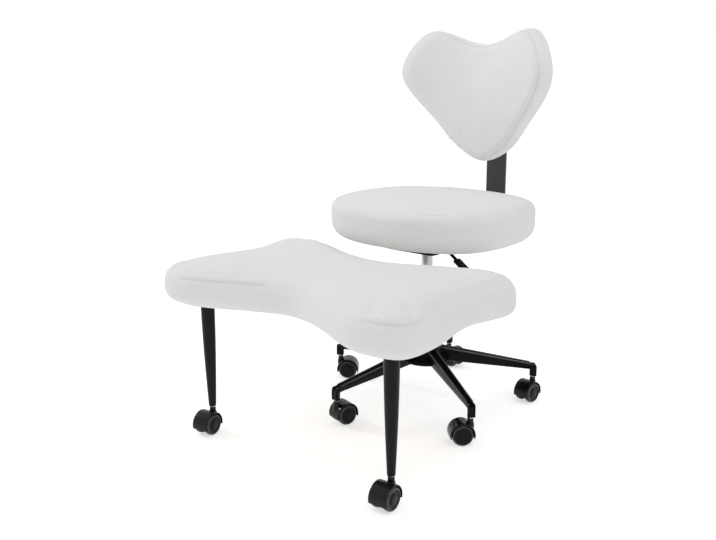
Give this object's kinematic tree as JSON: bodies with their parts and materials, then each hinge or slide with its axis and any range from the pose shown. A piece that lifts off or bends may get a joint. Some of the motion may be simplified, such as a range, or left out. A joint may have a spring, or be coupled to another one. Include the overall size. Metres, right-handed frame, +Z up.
{
  "type": "cross-legged office chair",
  "caption": "Low castered office chair with a round seat on a gas lift, a heart-shaped back on a flat bar, and a wide footrest on tapered legs that swings round the column.",
  "frame": {"origin": "floor, under the middle of the chair's overall box", "axes": "+Z up, -Y towards the footrest (where the sitter faces), +X to the sitter's left"},
  "size_m": [0.7128, 0.8778, 0.9193],
  "materials": {
    "cream_fabric": "short-pile boucle, off-white",
    "back_cover": "smooth off-white cover cloth over board",
    "plywood": "bare birch plywood",
    "black_steel": "satin black powder coat",
    "black_nylon": "satin moulded nylon",
    "hood_plastic": "matt moulded plastic",
    "wheel_plastic": "satin hard plastic",
    "grip_plastic": "matt moulded plastic",
    "zinc_steel": "bright zinc plate",
    "chrome": "polished chrome plate"
  },
  "bodies": {
    "base": {"star_base": "black_nylon", "column_tube": "black_steel", "column_bush": "black_nylon", "thrust_bearing": "zinc_steel", "caster_1_stem": "zinc_steel", "caster_2_stem": "zinc_steel", "caster_3_stem": "zinc_steel", "caster_4_stem": "zinc_steel", "caster_5_stem": "zinc_steel"},
    "piston": {"piston_rod": "zinc_steel", "rod_clip": "zinc_steel"},
    "seat": {"gas_cylinder": "chrome", "seat_plate": "black_steel", "seat_board": "plywood", "seat_cushion": "cream_fabric", "back_bar": "black_steel", "back_board": "back_cover", "back_cushion": "cream_fabric"},
    "lever": {"lever_rod": "black_steel", "lever_grip": "grip_plastic"},
    "button": {"release_button": "zinc_steel"},
    "footrest": {"swing_arm": "black_steel", "swing_bush_lower": "black_nylon", "swing_bush_upper": "black_nylon", "footrest_board": "plywood", "footrest_cushion": "cream_fabric", "leg_left": "black_steel", "leg_right": "black_steel", "leg_plate_left": "black_steel", "leg_plate_right": "black_steel", "caster_left_stem": "zinc_steel", "caster_right_stem": "zinc_steel"},
    "caster_1": {"caster_1_hood": "hood_plastic", "caster_1_axle": "zinc_steel"},
    "caster_1_wheel_a": {"caster_1_wheel_a": "wheel_plastic"},
    "caster_1_wheel_b": {"caster_1_wheel_b": "wheel_plastic"},
    "caster_2": {"caster_2_hood": "hood_plastic", "caster_2_axle": "zinc_steel"},
    "caster_2_wheel_a": {"caster_2_wheel_a": "wheel_plastic"},
    "caster_2_wheel_b": {"caster_2_wheel_b": "wheel_plastic"},
    "caster_3": {"caster_3_hood": "hood_plastic", "caster_3_axle": "zinc_steel"},
    "caster_3_wheel_a": {"caster_3_wheel_a": "wheel_plastic"},
    "caster_3_wheel_b": {"caster_3_wheel_b": "wheel_plastic"},
    "caster_4": {"caster_4_hood": "hood_plastic", "caster_4_axle": "zinc_steel"},
    "caster_4_wheel_a": {"caster_4_wheel_a": "wheel_plastic"},
    "caster_4_wheel_b": {"caster_4_wheel_b": "wheel_plastic"},
    "caster_5": {"caster_5_hood": "hood_plastic", "caster_5_axle": "zinc_steel"},
    "caster_5_wheel_a": {"caster_5_wheel_a": "wheel_plastic"},
    "caster_5_wheel_b": {"caster_5_wheel_b": "wheel_plastic"},
    "caster_left": {"caster_left_hood": "hood_plastic", "caster_left_axle": "zinc_steel"},
    "caster_left_wheel_a": {"caster_left_wheel_a": "wheel_plastic"},
    "caster_left_wheel_b": {"caster_left_wheel_b": "wheel_plastic"},
    "caster_right": {"caster_right_hood": "hood_plastic", "caster_right_axle": "zinc_steel"},
    "caster_right_wheel_a": {"caster_right_wheel_a": "wheel_plastic"},
    "caster_right_wheel_b": {"caster_right_wheel_b": "wheel_plastic"}
  },
  "joints": [
    {"name": "seat_swivel", "type": "hinge", "parent": "base", "child": "piston", "pos_m": [0, 0.12438, 0.11], "axis": [0, 0, 1], "continuous": true},
    {"name": "seat_lift", "type": "slide", "parent": "piston", "child": "seat", "axis": [0, 0, 1], "range_m": [0, 0.09]},
    {"name": "lever_lift", "type": "hinge", "parent": "seat", "child": "lever", "pos_m": [0.02777, 0.11797, 0.41021], "axis": [-0.225, -0.9744, 0], "range_deg": [0, 8]},
    {"name": "button_press", "type": "slide", "parent": "seat", "child": "button", "axis": [0, 0, -1], "range_m": [0, 0.0037], "stiffness_N_per_m": 800},
    {"name": "footrest_swing", "type": "hinge", "parent": "base", "child": "footrest", "pos_m": [0, 0.12438, 0.23], "axis": [0, 0, 1], "continuous": true},
    {"name": "caster_1_swivel", "type": "hinge", "parent": "base", "child": "caster_1", "pos_m": [0.21005, 0.30064, 0.05], "axis": [0, 0, 1], "continuous": true},
    {"name": "caster_1_spin_a", "type": "hinge", "parent": "caster_1", "child": "caster_1_wheel_a", "pos_m": [0.20761, 0.28079, 0.025], "axis": [0.9925, -0.1219, 0], "continuous": true},
    {"name": "caster_1_spin_b", "type": "hinge", "parent": "caster_1", "child": "caster_1_wheel_b", "pos_m": [0.20761, 0.28079, 0.025], "axis": [0.9925, -0.1219, 0], "continuous": true},
    {"name": "caster_2_swivel", "type": "hinge", "parent": "base", "child": "caster_2", "pos_m": [0.23253, -0.02092, 0.05], "axis": [0, 0, 1], "continuous": true},
    {"name": "caster_2_spin_a", "type": "hinge", "parent": "caster_2", "child": "caster_2_wheel_a", "pos_m": [0.21864, -0.03531, 0.025], "axis": [0.7193, -0.6947, 0], "continuous": true},
    {"name": "caster_2_spin_b", "type": "hinge", "parent": "caster_2", "child": "caster_2_wheel_b", "pos_m": [0.21864, -0.03531, 0.025], "axis": [0.7193, -0.6947, 0], "continuous": true},
    {"name": "caster_3_swivel", "type": "hinge", "parent": "base", "child": "caster_3", "pos_m": [-0.06634, -0.14167, 0.05], "axis": [0, 0, 1], "continuous": true},
    {"name": "caster_3_spin_a", "type": "hinge", "parent": "caster_3", "child": "caster_3_wheel_a", "pos_m": [-0.06116, -0.12235, 0.025], "axis": [-0.9659, 0.2588, 0], "continuous": true},
    {"name": "caster_3_spin_b", "type": "hinge", "parent": "caster_3", "child": "caster_3_wheel_b", "pos_m": [-0.06116, -0.12235, 0.025], "axis": [-0.9659, 0.2588, 0], "continuous": true},
    {"name": "caster_4_swivel", "type": "hinge", "parent": "base", "child": "caster_4", "pos_m": [-0.27353, 0.10526, 0.05], "axis": [0, 0, 1], "continuous": true},
    {"name": "caster_4_spin_a", "type": "hinge", "parent": "caster_4", "child": "caster_4_wheel_a", "pos_m": [-0.25735, 0.11701, 0.025], "axis": [-0.5878, 0.809, 0], "continuous": true},
    {"name": "caster_4_spin_b", "type": "hinge", "parent": "caster_4", "child": "caster_4_wheel_b", "pos_m": [-0.25735, 0.11701, 0.025], "axis": [-0.5878, 0.809, 0], "continuous": true},
    {"name": "caster_5_swivel", "type": "hinge", "parent": "base", "child": "caster_5", "pos_m": [-0.10272, 0.37862, 0.05], "axis": [0, 0, 1], "continuous": true},
    {"name": "caster_5_spin_a", "type": "hinge", "parent": "caster_5", "child": "caster_5_wheel_a", "pos_m": [-0.08291, 0.37583, 0.025], "axis": [0.1392, 0.9903, 0], "continuous": true},
    {"name": "caster_5_spin_b", "type": "hinge", "parent": "caster_5", "child": "caster_5_wheel_b", "pos_m": [-0.08291, 0.37583, 0.025], "axis": [0.1392, 0.9903, 0], "continuous": true},
    {"name": "caster_left_swivel", "type": "hinge", "parent": "footrest", "child": "caster_left", "pos_m": [0.268, -0.35262, 0.05], "axis": [0, 0, 1], "continuous": true},
    {"name": "caster_left_spin_a", "type": "hinge", "parent": "caster_left", "child": "caster_left_wheel_a", "pos_m": [0.26939, -0.37257, 0.025], "axis": [0.9976, 0.0698, 0], "continuous": true},
    {"name": "caster_left_spin_b", "type": "hinge", "parent": "caster_left", "child": "caster_left_wheel_b", "pos_m": [0.26939, -0.37257, 0.025], "axis": [0.9976, 0.0698, 0], "continuous": true},
    {"name": "caster_right_swivel", "type": "hinge", "parent": "footrest", "child": "caster_right", "pos_m": [-0.268, -0.35262, 0.05], "axis": [0, 0, 1], "continuous": true},
    {"name": "caster_right_spin_a", "type": "hinge", "parent": "caster_right", "child": "caster_right_wheel_a", "pos_m": [-0.26453, -0.37231, 0.025], "axis": [0.9848, 0.1736, 0], "continuous": true},
    {"name": "caster_right_spin_b", "type": "hinge", "parent": "caster_right", "child": "caster_right_wheel_b", "pos_m": [-0.26453, -0.37231, 0.025], "axis": [0.9848, 0.1736, 0], "continuous": true}
  ],
  "couplings": [
    {"joint": "button_press", "follows": "lever_lift", "m_per_rad": 0.026}
  ]
}
